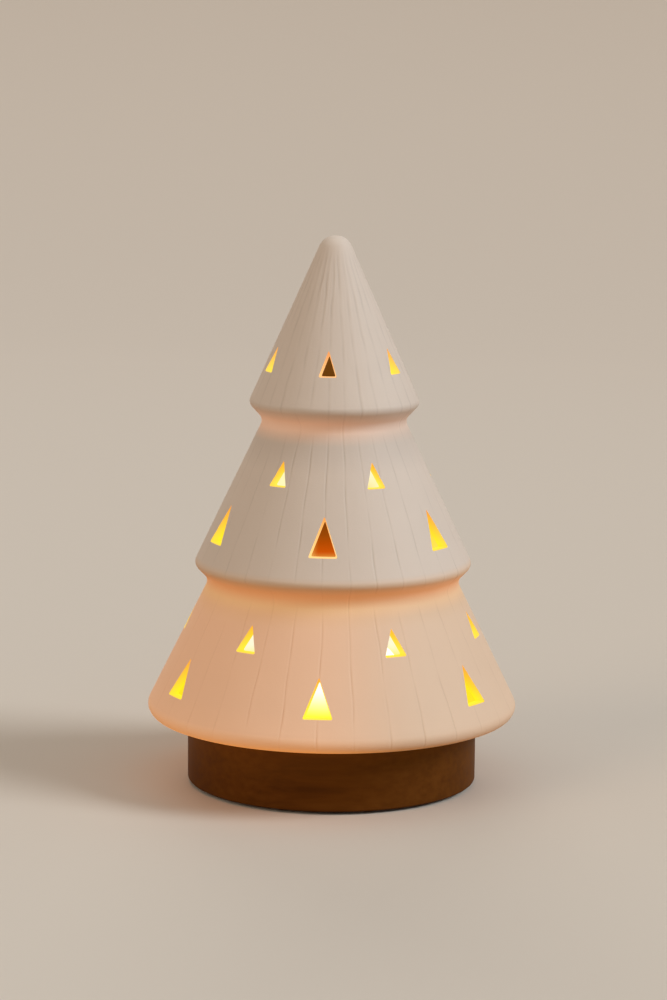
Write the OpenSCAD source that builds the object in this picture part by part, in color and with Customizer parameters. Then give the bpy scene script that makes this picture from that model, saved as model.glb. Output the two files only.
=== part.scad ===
// Table lamp in the shape of a three-tier Christmas tree: an unglazed porcelain shade with
// pierced windows stands on a turned wooden base that holds three cells and a lit dome.
// Millimetres, +Z up, origin on the table under the middle of the lamp.

/* [Overall] */
// Height of the whole lamp, from the table to the tip
overall_h = 231; // [226:1:240]
// Height at which the feet hold the base off the table
feet_stand = 1.2; // [1:0.1:2.4]
// Height of the wooden base
base_h = 26.8; // [26:0.2:30]
// Radius of the wooden base
base_r = 61; // [60:0.5:68]

/* [Shade] */
// Wall of the shade, the same all over
wall = 3.8; // [3:0.1:4.4]
// Radius at which the lowest cone would meet the floor if its lip were sharp
skirt_r = 80.5; // [78:0.5:84]
// Radius of the lower waist, where two cones meet
low_waist_r = 52; // [50:0.5:54]
// Height of the lower waist over the floor of the shade
low_waist_h = 57.8; // [56.5:0.2:58.6]
// Radius of the sharp lip of the middle tier
middle_lip_r = 58.6; // [57.6:0.2:61]
// Height of the sharp lip of the middle tier over the floor of the shade
middle_lip_h = 64.5; // [63.7:0.2:66.5]
// Radius of the upper waist
high_waist_r = 29.6; // [28:0.2:31]
// Height of the upper waist over the floor of the shade
high_waist_h = 125.4; // [124:0.2:126.2]
// Radius of the sharp lip of the top tier
top_lip_r = 36; // [35:0.2:38]
// Height of the sharp lip of the top tier over the floor of the shade
top_lip_h = 132.3; // [131.5:0.2:134]
// Rounding of the tip
tip_r = 7.4; // [7:0.1:9]
// Rounding of the lip round the foot of the shade
skirt_round = 4.4; // [3.6:0.1:5]
// Rounding inside the lower waist
low_waist_round = 5; // [4:0.1:5.4]
// Rounding of the lip of the middle tier
middle_lip_round = 2.9; // [2:0.1:3.4]
// Rounding inside the upper waist
high_waist_round = 3.9; // [3:0.1:4.4]
// Rounding of the lip of the top tier
top_lip_round = 3.2; // [2:0.1:3.6]
// Least rounding that the casting slip leaves in an inner corner
slip_round = 2.5; // [2:0.1:2.8]
// Rounding of the edge of the mouth
mouth_round = 1.3; // [0.8:0.1:1.4]

/* [Windows] */
// Width of a window in the lower row of the bottom tier
skirt_low_w = 12.5; // [10:0.5:15]
// Height of a window in the lower row of the bottom tier
skirt_low_h = 15.4; // [12:0.2:17]
// Sill of the lower row of the bottom tier over the floor of the shade
skirt_low_z = 13.7; // [11:0.1:15]
// Width of a window in the upper row of the bottom tier
skirt_high_w = 9.9; // [8:0.1:12]
// Height of a window in the upper row of the bottom tier
skirt_high_h = 10.6; // [8:0.1:12]
// Sill of the upper row of the bottom tier over the floor of the shade
skirt_high_z = 36.1; // [34:0.1:38]
// Width of a window in the lower row of the middle tier
middle_low_w = 12.3; // [10:0.1:14]
// Height of a window in the lower row of the middle tier
middle_low_h = 15.7; // [13:0.1:17]
// Sill of the lower row of the middle tier over the floor of the shade
middle_low_z = 75.6; // [74.5:0.1:77]
// Width of a window in the upper row of the middle tier
middle_high_w = 8.5; // [7:0.1:10]
// Height of a window in the upper row of the middle tier
middle_high_h = 10.1; // [8:0.1:11]
// Sill of the upper row of the middle tier over the floor of the shade
middle_high_z = 101.6; // [99:0.1:103]
// Width of a window of the top tier
top_w = 7.8; // [6:0.1:9]
// Height of a window of the top tier
top_h = 10.3; // [8:0.1:12]
// Sill of the windows of the top tier over the floor of the shade
top_z = 146.2; // [144:0.1:149]
// Draft of the cut faces of the windows, in degrees
window_draft = 12; // [4:1:14]

/* [Pad ring] */
// Thickness of the loose silicone ring that the shade rests on
pad_t = 1.5; // [1.2:0.1:2.4]
// Width of the ring
pad_w = 7.5; // [5:0.5:8]
// Depth of the groove that holds the ring
pad_groove = 0.5; // [0.4:0.1:0.8]
// Distance from the mouth of the shade to the inside of the ring
pad_inset = 2.5; // [2:0.1:3]
// Distance from the ring to the side of the base
pad_margin = 3.5; // [3:0.1:4.5]

/* [Wooden base] */
// Width of wood round the hollow under the base
base_wall = 9; // [8:0.2:9.6]
// Wood left between the hollow and the recess for the lamp plate
roof_t = 4; // [3.4:0.1:4.4]
// Rounding of the upper edge of the base
base_top_round = 1.5; // [0.5:0.1:1.8]
// Rounding of the lower edge of the base
base_foot_round = 1; // [0.5:0.1:2]
// Radius of the four lands that take the screws of the cover
land_r = 5; // [4.6:0.1:5.6]
// Radius of the hole for the leads
lead_hole_r = 6; // [5:0.1:7]

/* [Lamp plate] */
// Thickness of the plate
plate_t = 2; // [1.6:0.1:2.6]
// Wall of the rim that centres the shade
rim_t = 2; // [1.6:0.1:2.6]
// Height by which the rim stands into the mouth of the shade
rim_rise = 4; // [3:0.1:5]
// Gap between the rim and the mouth of the shade
mouth_gap = 1.3; // [1:0.1:1.6]
// Height of the collar that holds the dome
collar_h = 4; // [3:0.1:5]
// Wall of the collar
collar_t = 1.6; // [1.2:0.1:2]
// Width of the channel between the rim and the collar
channel_w = 11.5; // [9:0.5:13]

/* [Dome] */
// Height of the dome
dome_h = 34; // [32:0.5:38]
// Wall of the dome
dome_wall = 1.6; // [1.2:0.1:2]
// Rounding of the shoulder of the dome
dome_round = 14; // [10:0.5:15]

/* [Circuit board] */
// Room between the board and the dome
board_room = 4.2; // [3:0.1:5]
// Thickness of the board
board_t = 1.6; // [1:0.1:2]
// Height of the posts under the board
post_h = 1.5; // [1.2:0.1:2.4]
// Lights in the ring
light_count = 6; // [3:1:8]
// Length of a light
light_l = 3.5; // [3:0.1:4]
// Width of a light
light_w = 2.8; // [2:0.1:3.2]
// Height of a light
light_h = 0.8; // [0.6:0.1:1.2]

/* [Cells] */
// Height left for the leads over the cell bay
lead_room = 2.2; // [1.9:0.1:3]
// Distance from the corners of the cell bay's step to the wood
bay_gap = 4.4; // [3:0.1:5]
// Height of the button on a cell
button_h = 1.3; // [1:0.1:1.6]
// Radius of the button on a cell
button_r = 2.75; // [2.4:0.05:3]
// Space between two cells
cell_space = 0.9; // [0.6:0.1:1.4]
// Length of a contact spring when a cell is in
spring_l = 5; // [4.6:0.1:6]
// Diameter of the wire of a contact spring
spring_wire = 0.6; // [0.5:0.05:0.7]
// Radius of a contact spring at its foot
spring_foot_r = 4.2; // [4:0.1:4.8]
// Radius of a contact spring at its tip
spring_tip_r = 2.4; // [2:0.1:2.6]
// Thickness of a contact plate
contact_t = 0.4; // [0.3:0.05:0.5]

/* [Bottom cover] */
// Thickness of the cover and of its rebate in the wood
cover_t = 2.4; // [2:0.1:2.8]
// Width of wood that the cover overlaps
cover_lap = 2.5; // [2:0.1:3.2]
// Wall of the cell bay
bay_wall = 1.4; // [1:0.1:1.6]
// Thickness of the step that the door closes against
step_t = 1.2; // [1:0.1:1.5]
// Width of the step outside the door
step_lap = 2.5; // [2:0.1:3]
// Width by which the door overlaps the bay at its sides
door_lap = 3; // [2.6:0.1:3.6]
// Distance from the bay to the edge of the door at the latch
latch_room = 3.3; // [3:0.1:4]
// Width of a hook of the door
hook_w = 6; // [5:0.5:8]
// Width of the latch of the door
latch_w = 12; // [9:0.5:14]

/* [Switch] */
// Travel of the knob between off and on
switch_travel = 4; // [3:0.5:5]
// Width of the switch
switch_w = 6; // [5.6:0.1:6.6]
// Height of the body of the switch
switch_h = 4; // [3.6:0.1:4.6]
// Width of the knob
knob_w = 3; // [2.6:0.1:3.2]
// Length of the knob
knob_l = 3.4; // [3:0.1:4]

/* [Feet] */
// Radius of a foot
foot_r = 6; // [5:0.1:6.4]
// Depth by which a foot sits in the cover
foot_seat = 0.4; // [0.3:0.1:0.6]
// Distance from a foot to the door
foot_gap = 1; // [0.8:0.1:3]

/* [Screws] */
// Radius of the thread of a cover or plate screw
screw_r = 1.4; // [1.2:0.1:1.5]
// Radius of the head of a cover or plate screw
screw_head_r = 2.6; // [2.4:0.1:2.8]
// Height of the head of a cover or plate screw
screw_head_h = 1; // [0.8:0.1:1.1]
// Radius of the thread of a board or switch screw
small_screw_r = 0.9; // [0.8:0.05:1]
// Radius of the head of a board or switch screw
small_head_r = 1.7; // [1.5:0.1:1.9]
// Height of the head of a board or switch screw
small_head_h = 1.1; // [0.9:0.1:1.3]

/* [Leads] */
// Diameter of a lead with its insulation
lead_d = 1.3; // [1:0.1:1.4]

/* [Hidden] */
$fn = 96;

// Overrun of every cut
cut = 0.6;
// Gap between flat pieces that slide or fit
slip_gap = 0.3;
// Gap round a thread in its hole
thread_gap = 0.05;
// Play of a lead at its joint
joint_gap = 0.1;
// Flats to a rounded corner, an even number
arc_steps = 8;

// Colours
bisque = "#f0e9de";
walnut = "#4a2c17";
milky = "#f4f1ea";
white_abs = "#e9e6df";
silicone = "#d9d6cf";
board_green = "#e8e8e2";
phosphor = "#f2d25c";
steel = "#b9bbbd";
spring_steel = "#c9ccd0";
cell_wrap = "#3c5f7d";
black_abs = "#1d1d1f";

// Heights of the stacked pieces
base_top = feet_stand + base_h;
pad_z = base_top - pad_groove;
shade_z = pad_z + pad_t;
shade_h = overall_h - shade_z;
plate_z = base_top - plate_t;
hollow_top = plate_z - roof_t;
board_z = base_top + post_h;
light_z = board_z + board_t;

// From the side of the base inwards: ring, mouth of the shade, rim, collar, dome and board
pad_r = base_r - pad_margin - pad_w;
mouth_r = pad_r - pad_inset;
rim_r = mouth_r - mouth_gap;
rim_top = shade_z + rim_rise;
collar_r = rim_r - rim_t - channel_w;
dome_r = collar_r - collar_t - slip_gap;
board_r = dome_r - dome_wall - board_room;
light_ring_r = board_r * 3 / 5;

// Cover
hollow_r = base_r - base_wall;
cover_r = hollow_r + cover_lap;
cover_top = feet_stand + cover_t;
land_ring_r = hollow_r - land_r * 2 / 5;

// Cells take the height that is left between the door and the leads: 14.5 mm, a standard size,
// at the base's present height
door_t = cover_t - slip_gap;
door_top = feet_stand + door_t;
bay_roof = hollow_top - lead_room;
bay_top = bay_roof - bay_wall;
cell_d = bay_top - door_top - 2 * slip_gap;
cell_r = cell_d / 2;
cell_z = door_top + slip_gap + cell_r;
cell_pitch = cell_d + cell_space;
cell_count = 3;
bay_w = cell_count * cell_d + (cell_count - 1) * cell_space + 2 * slip_gap;
tab_w = cell_r * 2 / 5;
tab_top = bay_roof + lead_d;
contact_w = cell_d * 5 / 6;

// Door: hooks at one end turn about the edge, a latch closes the other
step_top = cover_top + step_t;
hook_t = door_t * 6 / 7;
hook_reach = hook_t * 5 / 3;
hook_top = step_top + slip_gap + step_t;
hinge_room = norm([hook_t, hook_top - feet_stand]) + 2 * slip_gap;
door_w = bay_w + 2 * door_lap;
step_x = door_w / 2 + step_lap;
hinge_y = sqrt(pow(hollow_r - bay_gap, 2) - pow(step_x, 2)) - step_lap;
hook_x = door_w * 4 / 15;
latch_top = hook_top + 2 * step_t;

// Cells take the length that the door's hinge leaves: 50.5 mm, a standard size, at the base's
// present radius
bay_l = 2 * (hinge_y - hinge_room - bay_wall);
latch_y = -bay_l / 2 - bay_wall - latch_room;
cell_l = bay_l - spring_l - 2 * contact_t - 2 * joint_gap;

// Switch midway between the step and a land
switch_x = (step_x + land_ring_r - land_r) / 2;
ear_t = switch_h / 8;
ear_z = cover_top + switch_h / 2;
can_z = ear_z + ear_t;
can_wall = switch_w / 9;
flange_t = switch_h * 3 / 10;
flange_l = knob_l + 4 * can_wall;
can_l = flange_l + switch_travel + 2 * slip_gap + 2 * can_wall;
can_top = can_z + switch_h;
ear_hole_y = can_l / 2 + small_head_r + 3 * slip_gap;
ear_l = 2 * (ear_hole_y + small_head_r + slip_gap);
blade_w = switch_w / 5;
blade_t = switch_w / 12;
blade_top = can_top + switch_h * 5 / 8;
blade_pitch = can_l / 3;

// Screw circles
plate_screw_ring = (collar_r + rim_r - rim_t) / 2;
plate_screw_l = plate_t + roof_t * 4 / 5;
cover_screw_l = base_h * 2 / 5;
board_screw_ring = board_r - 2 * small_head_r;
board_screw_l = board_t + post_h + plate_t / 2;

// Feet inside the rebate, beside the door
foot_ring_r = hollow_r - foot_r;
foot_turn = acos((door_w / 2 + foot_gap + foot_r) / foot_ring_r);

// Leads lie on the roof of the bay and rise through the hole in the base
lead_z = bay_roof + lead_d / 2 + slip_gap;
lead_spread = lead_hole_r * 3 / 5;
lead_end = board_z - joint_gap;
lead_sides = 8;

// Sharp corners of the outside of the shade, as radius and height over its floor.
// The last is where the top cone would come to a point over the rounded tip.
tip_centre = [0, shade_h - tip_r];
tip_slope = atan2(top_lip_r, tip_centre.y - top_lip_h)
    - asin(tip_r / norm([top_lip_r, tip_centre.y - top_lip_h]));
shade_corners = [
    [mouth_r, 0],
    [skirt_r, 0],
    [low_waist_r, low_waist_h],
    [middle_lip_r, middle_lip_h],
    [high_waist_r, high_waist_h],
    [top_lip_r, top_lip_h],
    [0, tip_centre.y + tip_r / sin(tip_slope)]
];

// Turns of the windows of each row from the front, in degrees. They are cut by hand, so the
// steps between them differ.
skirt_low_turns = [-57.5, 0, 58.5, 119, 181, 242];
skirt_high_turns = [-86, -30, 29, 80, 143, 208];
middle_low_turns = [-62.5, 0, 61, 121, 180, 239];
middle_high_turns = [-92, -30, 30, 98, 154, 210];
top_turns = [-64, -1, 63.5, 121, 179, 238];

// Rows of windows: width, height, sill over the floor, turns, and the side they are cut in
window_rows = [
    [skirt_low_w, skirt_low_h, skirt_low_z, skirt_low_turns, 1],
    [skirt_high_w, skirt_high_h, skirt_high_z, skirt_high_turns, 1],
    [middle_low_w, middle_low_h, middle_low_z, middle_low_turns, 3],
    [middle_high_w, middle_high_h, middle_high_z, middle_high_turns, 3],
    [top_w, top_h, top_z, top_turns, 5]
];
shade_rounds = [mouth_round, skirt_round, low_waist_round, middle_lip_round,
                high_waist_round, top_lip_round, tip_r];

// Sharp corners of the outside of the dome, and its roundings
dome_foot_h = collar_h * 5 / 4;
dome_shoulder_r = dome_r * 9 / 10;
dome_crown = dome_r / 6;
dome_corners = [
    [dome_r, 0],
    [dome_r, dome_foot_h],
    [dome_shoulder_r, dome_h - dome_crown],
    [0, dome_h]
];
dome_rounds = [0, dome_wall / 2, min(dome_round, dome_r / 2), 2 * dome_r];

function unit(v) = v / norm(v);

// The direction to the left of a path that runs along v
function left_of(v) = unit([-v.y, v.x]);

// Points of a corner rounded with an arc, from the line before it to the line after it
function rounded(before, corner, after, radius) =
    radius == 0 ? [corner] :
    let (
        back = unit(before - corner),
        ahead = unit(after - corner),
        half = acos(back * ahead) / 2,
        centre = corner + unit(back + ahead) * radius / sin(half),
        reach = radius / tan(half),
        first = corner + back * reach - centre,
        last = corner + ahead * reach - centre,
        sweep = 180 - 2 * half
    )
    [for (i = [0 : arc_steps]) let (t = i / arc_steps)
        centre + (sin((1 - t) * sweep) * first + sin(t * sweep) * last) / sin(sweep)];

// Closed outline with every corner rounded by its own radius
function rounded_outline(corners, radii) =
    let (n = len(corners))
    [for (i = [0 : n - 1]) each rounded(corners[(i + n - 1) % n], corners[i], corners[(i + 1) % n], radii[i])];

// Corner moved to the left of the path by a wall, so that both walls keep their thickness
function inner_corner(before, corner, after, wall_t) =
    let (a = left_of(corner - before), b = left_of(after - corner))
    corner + (a + b) * wall_t / (1 + a * b);

// Rounding of an inner corner: less by the wall where the path turns left, else more
function inner_round(before, corner, after, radius, wall_t, least) =
    cross(corner - before, after - corner) > 0 ? max(radius - wall_t, least) : radius + wall_t;

// Outline of a hollow of even wall round the axis. Its outer corners run from the open foot up
// to a last corner on the axis, whose arc is cut in half there.
function shell_outline(corners, radii, wall_t, least) =
    let (
        n = len(corners),
        path = concat(corners, [[-corners[n - 2].x, corners[n - 2].y]]),
        foot = corners[0] + left_of(corners[1] - corners[0]) * wall_t,
        inner = concat([foot], [for (i = [1 : n - 1]) inner_corner(path[i - 1], path[i], path[i + 1], wall_t)]),
        inner_path = concat(inner, [[-inner[n - 2].x, inner[n - 2].y]]),
        inner_radii = concat([radii[0]], [for (i = [1 : n - 1])
            inner_round(path[i - 1], path[i], path[i + 1], radii[i], wall_t, least)]),
        crown = rounded(path[n - 2], path[n - 1], path[n], radii[n - 1]),
        inner_crown = rounded(inner_path[n - 2], inner_path[n - 1], inner_path[n], inner_radii[n - 1])
    )
    concat(
        rounded(foot, corners[0], corners[1], radii[0]),
        [for (i = [1 : n - 2]) each rounded(path[i - 1], path[i], path[i + 1], radii[i])],
        [for (i = [0 : arc_steps / 2 - 1]) crown[i]],
        [[0, crown[arc_steps / 2].y], [0, inner_crown[arc_steps / 2].y]],
        [for (i = [arc_steps / 2 - 1 : -1 : 0]) inner_crown[i]],
        [for (i = [n - 2 : -1 : 1]) each rounded(inner_path[i + 1], inner_path[i], inner_path[i - 1], inner_radii[i])],
        rounded(inner_path[1], foot, corners[0], inner_radii[0])
    );

// Smooth curve through points, with straight ends of the given length
function curve_point(a, b, c, d, t) =
    (2 * b + (c - a) * t + (2 * a - 5 * b + 4 * c - d) * t * t
        + (3 * b - a - 3 * c + d) * t * t * t) / 2;
function curve(points, steps) =
    let (n = len(points))
    concat(
        [for (i = [0 : n - 2], k = [0 : steps - 1])
            curve_point(points[max(i - 1, 0)], points[i], points[i + 1], points[min(i + 2, n - 1)], k / steps)],
        [points[n - 1]]
    );

// Ring directions carried along a path without twist
function tangents(path) =
    let (n = len(path))
    [for (i = [0 : n - 1]) unit(path[min(i + 1, n - 1)] - path[max(i - 1, 0)])];
function first_side(t) = unit(cross(t, abs(t.z) < abs(t.x) + abs(t.y) ? [0, 0, 1] : [1, 0, 0]));
function sides_along(t) =
    [for (i = 0, s = first_side(t[0]); i < len(t);
        i = i + 1, s = i < len(t) ? unit(s - t[i] * (s * t[i])) : s) s];

// A tube of straight facets swept along a path
module tube(path, radius, sides) {
    n = len(path);
    t = tangents(path);
    s = sides_along(t);
    points = [for (i = [0 : n - 1], k = [0 : sides - 1])
        path[i] + radius * (cos(360 * k / sides) * s[i] + sin(360 * k / sides) * cross(t[i], s[i]))];
    walls = [for (i = [0 : n - 2], k = [0 : sides - 1], half = [0, 1])
        let (a = i * sides + k, b = i * sides + (k + 1) % sides)
        half == 0 ? [a, a + sides, b] : [b, a + sides, b + sides]];
    ends = [for (k = [1 : sides - 2]) each [[0, k, k + 1],
        [(n - 1) * sides, (n - 1) * sides + k + 1, (n - 1) * sides + k]]];
    polyhedron(points = points, faces = concat(walls, ends));
}

// A plate with rounded corners, centred on x, from y0 to y1
module rounded_plate(w, y0, y1, round_r, h) {
    corners = [[-w / 2, y0], [w / 2, y0], [w / 2, y1], [-w / 2, y1]];
    linear_extrude(h)
        polygon(rounded_outline(corners, [round_r, round_r, round_r, round_r]));
}

// A block centred on x and y
module block(w, l, h) {
    translate([-w / 2, -l / 2, 0])
        cube([w, l, h]);
}

// Screw with its head up, standing on z = 0: a cross is sunk in the head
module screw(thread_r, head_r, head_h, length) {
    slot = head_r / 3;
    difference() {
        union() {
            cylinder(r = head_r, h = head_h);
            translate([0, 0, -length])
                cylinder(r = thread_r, h = length);
        }
        for (turn = [0, 90])
            rotate(turn)
                translate([0, 0, head_h / 2])
                    block(head_r * 4 / 3, slot, head_h);
    }
}

module at_cover_screws() {
    for (turn = [0 : 90 : 270])
        rotate(turn)
            translate([land_ring_r, 0, 0])
                children();
}

module at_plate_screws() {
    for (turn = [30 : 120 : 270])
        rotate(turn)
            translate([plate_screw_ring, 0, 0])
                children();
}

module at_board_posts() {
    for (turn = [30 : 120 : 270])
        rotate(turn)
            translate([board_screw_ring, 0, 0])
                children();
}

module at_feet() {
    for (side = [0, 180], turn = [-foot_turn, foot_turn])
        rotate(side + turn)
            translate([foot_ring_r, 0, 0])
                children();
}

module at_switch_ears() {
    for (side = [-1, 1])
        translate([switch_x, side * ear_hole_y, 0])
            children();
}

// Radius of the straight side that starts at a corner of the shade, at a height over its floor
function side_r(corner, h) =
    let (low = shade_corners[corner], high = shade_corners[corner + 1])
    low.x + (high.x - low.x) * (h - low.y) / (high.y - low.y);

// Triangle of a window at a depth under the outside, drawn in from both slanted sides by the
// draft. It follows the slope of the wall, and its sill stays level.
function window_edge(w, h, sill, corner, depth) =
    let (
        drawn = 1 - depth * tan(window_draft) * norm([w / 2, h]) / (w / 2 * h),
        tip = sill + h * drawn
    )
    [
        [-w / 2 * drawn, depth - side_r(corner, sill), sill],
        [w / 2 * drawn, depth - side_r(corner, sill), sill],
        [0, depth - side_r(corner, tip), tip]
    ];

// Solid that cuts a window at the front, from outside the wall to inside it
module window(w, h, sill, corner) {
    outer = window_edge(w, h, sill, corner, -wall / 2);
    inner = window_edge(w, h, sill, corner, wall * 3 / 2);
    polyhedron(
        concat(outer, inner),
        [[0, 2, 1], [4, 5, 3], [0, 1, 4, 3], [1, 2, 5, 4], [2, 0, 3, 5]]
    );
}

// Three-tier shade: one even wall from the mouth in its floor round the lips and waists to
// the tip, pierced by five rows of windows
module tree_shade() {
    color(bisque)
        translate([0, 0, shade_z])
            difference() {
                rotate_extrude()
                    polygon(shell_outline(shade_corners, shade_rounds, wall, slip_round));
                for (row = window_rows, turn = row[3])
                    rotate(turn)
                        window(row[0], row[1], row[2], row[4]);
            }
}

// Loose silicone ring in a groove of the base, on which the shade turns
module pad_ring() {
    edge = pad_t / 4;
    corners = [[pad_r, 0], [pad_r + pad_w, 0], [pad_r + pad_w, pad_t], [pad_r, pad_t]];
    color(silicone)
        translate([0, 0, pad_z])
            rotate_extrude()
                polygon(rounded_outline(corners, [0, 0, edge, edge]));
}

// Turned base with a groove and a recess on top, and a hollow with four screw lands below
module wooden_base() {
    corners = [[0, feet_stand], [base_r, feet_stand], [base_r, base_top], [0, base_top]];
    color(walnut)
        difference() {
            rotate_extrude()
                polygon(rounded_outline(corners, [0, base_foot_round, base_top_round, 0]));
            difference() {
                translate([0, 0, feet_stand - cut])
                    cylinder(r = hollow_r, h = hollow_top - feet_stand + cut);
                at_cover_screws()
                    translate([0, 0, feet_stand - 2 * cut])
                        cylinder(r = land_r, h = base_h);
            }
            translate([0, 0, feet_stand - cut])
                cylinder(r = cover_r + slip_gap, h = cover_t + cut);
            at_cover_screws()
                translate([0, 0, cover_top - cut])
                    cylinder(r = screw_r + thread_gap, h = cover_screw_l + cut);
            translate([0, 0, plate_z])
                cylinder(r = rim_r + slip_gap, h = plate_t + cut);
            at_plate_screws()
                translate([0, 0, plate_z + plate_t - plate_screw_l - thread_gap])
                    cylinder(r = screw_r + thread_gap, h = plate_screw_l);
            translate([0, 0, pad_z])
                difference() {
                    cylinder(r = pad_r + pad_w + slip_gap, h = pad_groove + cut);
                    translate([0, 0, -cut])
                        cylinder(r = pad_r - slip_gap, h = pad_groove + 3 * cut);
                }
            translate([0, 0, hollow_top - cut])
                cylinder(r = lead_hole_r, h = roof_t + 2 * cut);
        }
}

// Round plate let into the base: a rim centres the shade and a collar holds the dome
module lamp_plate() {
    edge = rim_t / 3;
    fine_edge = collar_t / 4;
    collar_in = dome_r + slip_gap;
    corners = [
        [lead_hole_r, plate_z], [rim_r, plate_z], [rim_r, rim_top], [rim_r - rim_t, rim_top],
        [rim_r - rim_t, base_top], [collar_r, base_top], [collar_r, base_top + collar_h],
        [collar_in, base_top + collar_h], [collar_in, base_top], [lead_hole_r, base_top]
    ];
    rounds = [0, 0, edge, edge, edge, fine_edge, fine_edge, fine_edge, 0, 0];
    color(white_abs)
        difference() {
            union() {
                rotate_extrude()
                    polygon(rounded_outline(corners, rounds));
                at_board_posts()
                    translate([0, 0, base_top - plate_t / 2])
                        cylinder(r = small_head_r + slip_gap, h = plate_t / 2 + post_h);
            }
            at_board_posts()
                translate([0, 0, light_z - board_screw_l - thread_gap])
                    cylinder(r = small_screw_r + thread_gap, h = board_screw_l);
            at_plate_screws()
                translate([0, 0, plate_z - cut])
                    cylinder(r = screw_r + slip_gap, h = plate_t + 2 * cut);
        }
}

module lamp_plate_screws() {
    color(steel)
        at_plate_screws()
            translate([0, 0, base_top])
                screw(screw_r, screw_head_r, screw_head_h, plate_screw_l);
}

// Opal dome over the lights, pushed into the collar of the lamp plate
module light_dome() {
    color(milky)
        translate([0, 0, base_top])
            rotate_extrude()
                polygon(shell_outline(dome_corners, dome_rounds, dome_wall, dome_wall));
}

module circuit_board() {
    color(board_green)
        translate([0, 0, board_z])
            difference() {
                cylinder(r = board_r, h = board_t);
                at_board_posts()
                    translate([0, 0, -cut])
                        cylinder(r = small_screw_r + slip_gap, h = board_t + 2 * cut);
                for (side = [-1, 1])
                    translate([side * lead_spread, 0, -cut])
                        cylinder(r = lead_d / 3, h = board_t + 2 * cut);
            }
}

module board_screws() {
    color(steel)
        at_board_posts()
            translate([0, 0, light_z])
                screw(small_screw_r, small_head_r, small_head_h, board_screw_l);
}

// One light: a package with a round bowl for the phosphor
module light_package() {
    difference() {
        block(light_l, light_w, light_h);
        translate([0, 0, light_h * 4 / 5])
            cylinder(r1 = light_w * 3 / 8, r2 = light_w * 2 / 5, h = light_h);
    }
}

// A ring of lights and one in the middle
module lights() {
    color(phosphor)
        translate([0, 0, light_z]) {
            light_package();
            for (i = [0 : light_count - 1])
                rotate(i * 360 / light_count)
                    translate([light_ring_r, 0, 0])
                        light_package();
        }
}

// Chip resistors between the lights
module resistors() {
    color(black_abs)
        for (turn = [90 : 120 : 330])
            rotate(turn)
                translate([light_ring_r * 3 / 5, 0, light_z])
                    block(light_w * 3 / 5, light_l, light_h * 3 / 4);
}

// Cover with the cell bay, the step and slots for the door, and the posts of the switch
module bottom_cover() {
    corner_r = cell_space * 2;
    rib_w = cell_space * 8 / 9;
    rib_h = cell_r / 2;
    notch_r = latch_w * 3 / 5;
    dish_w = switch_w * 3 / 2;
    dish_l = knob_l + switch_travel + switch_w;
    color(black_abs) {
        difference() {
            union() {
                translate([0, 0, feet_stand])
                    cylinder(r = cover_r, h = cover_t);
                translate([0, 0, cover_top - cut])
                    rounded_plate(2 * step_x, latch_y - step_lap, hinge_y + step_lap,
                                  corner_r + step_lap, step_t + cut);
                translate([0, 0, cover_top])
                    block(bay_w + 2 * bay_wall, bay_l + 2 * bay_wall, bay_roof - cover_top);
                at_switch_ears()
                    translate([0, 0, cover_top - cut])
                        cylinder(r = small_head_r + slip_gap, h = ear_z - cover_top + cut);
            }
            // Opening for the door, and the bay over it
            translate([0, 0, feet_stand - cut])
                rounded_plate(door_w + 2 * slip_gap, latch_y - slip_gap, hinge_y + slip_gap,
                              corner_r + slip_gap, cover_t + cut);
            translate([0, 0, feet_stand])
                block(bay_w, bay_l, bay_top - feet_stand);
            // Slots for the tabs of the contacts, in the roof of the bay
            for (end = [-1, 1])
                translate([end * cell_pitch, end * (bay_l - contact_t) / 2, bay_top - cut])
                    block(tab_w + 2 * joint_gap, contact_t + 2 * joint_gap, bay_wall + 2 * cut);
            // Slots for the hooks and the latch of the door, in the step
            for (side = [-1, 1])
                translate([side * hook_x - hook_w / 2 - slip_gap, hinge_y - hinge_room + slip_gap, cover_top - cut])
                    cube([hook_w + 2 * slip_gap, hinge_room, step_t + 2 * cut]);
            translate([-latch_w / 2 - slip_gap, latch_y - slip_gap, cover_top - cut])
                cube([latch_w + 2 * slip_gap, latch_room, step_t + 2 * cut]);
            // Notch for a fingertip beside the latch
            translate([0, latch_y, feet_stand - cut])
                cylinder(r = notch_r, h = cover_t / 2 + cut);
            // Dish and slot for the knob of the switch
            translate([switch_x, 0, feet_stand - cut])
                rounded_plate(dish_w, -dish_l / 2, dish_l / 2, corner_r, cover_t * 2 / 5 + cut);
            translate([switch_x, 0, feet_stand])
                block(knob_w + 2 * slip_gap, knob_l + switch_travel + 2 * slip_gap, cover_t + cut);
            at_switch_ears()
                translate([0, 0, ear_z - switch_h / 2])
                    cylinder(r = small_screw_r + thread_gap, h = switch_h);
            // Screw holes with sunk seats, and seats for the feet
            at_cover_screws() {
                translate([0, 0, feet_stand - cut])
                    cylinder(r = screw_r + slip_gap, h = cover_t + 2 * cut);
                translate([0, 0, feet_stand - cut])
                    cylinder(r = screw_head_r + slip_gap, h = screw_head_h + cut);
            }
            at_feet()
                translate([0, 0, feet_stand - cut])
                    cylinder(r = foot_r + slip_gap, h = foot_seat + cut);
        }
        // Ribs that part the cells
        for (side = [-1, 1])
            translate([side * cell_pitch / 2, 0, bay_top - rib_h])
                block(rib_w, bay_l * 4 / 5, rib_h + bay_wall / 2);
    }
}

module cover_screws() {
    color(steel)
        at_cover_screws()
            translate([0, 0, feet_stand + screw_head_h])
                mirror([0, 0, 1])
                    screw(screw_r, screw_head_r, screw_head_h, cover_screw_l);
}

module feet() {
    edge = foot_seat;
    height = feet_stand + foot_seat;
    corners = [[0, 0], [foot_r, 0], [foot_r, height], [0, height]];
    color(silicone)
        at_feet()
            rotate_extrude()
                polygon(rounded_outline(corners, [0, edge, 0, 0]));
}

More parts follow.
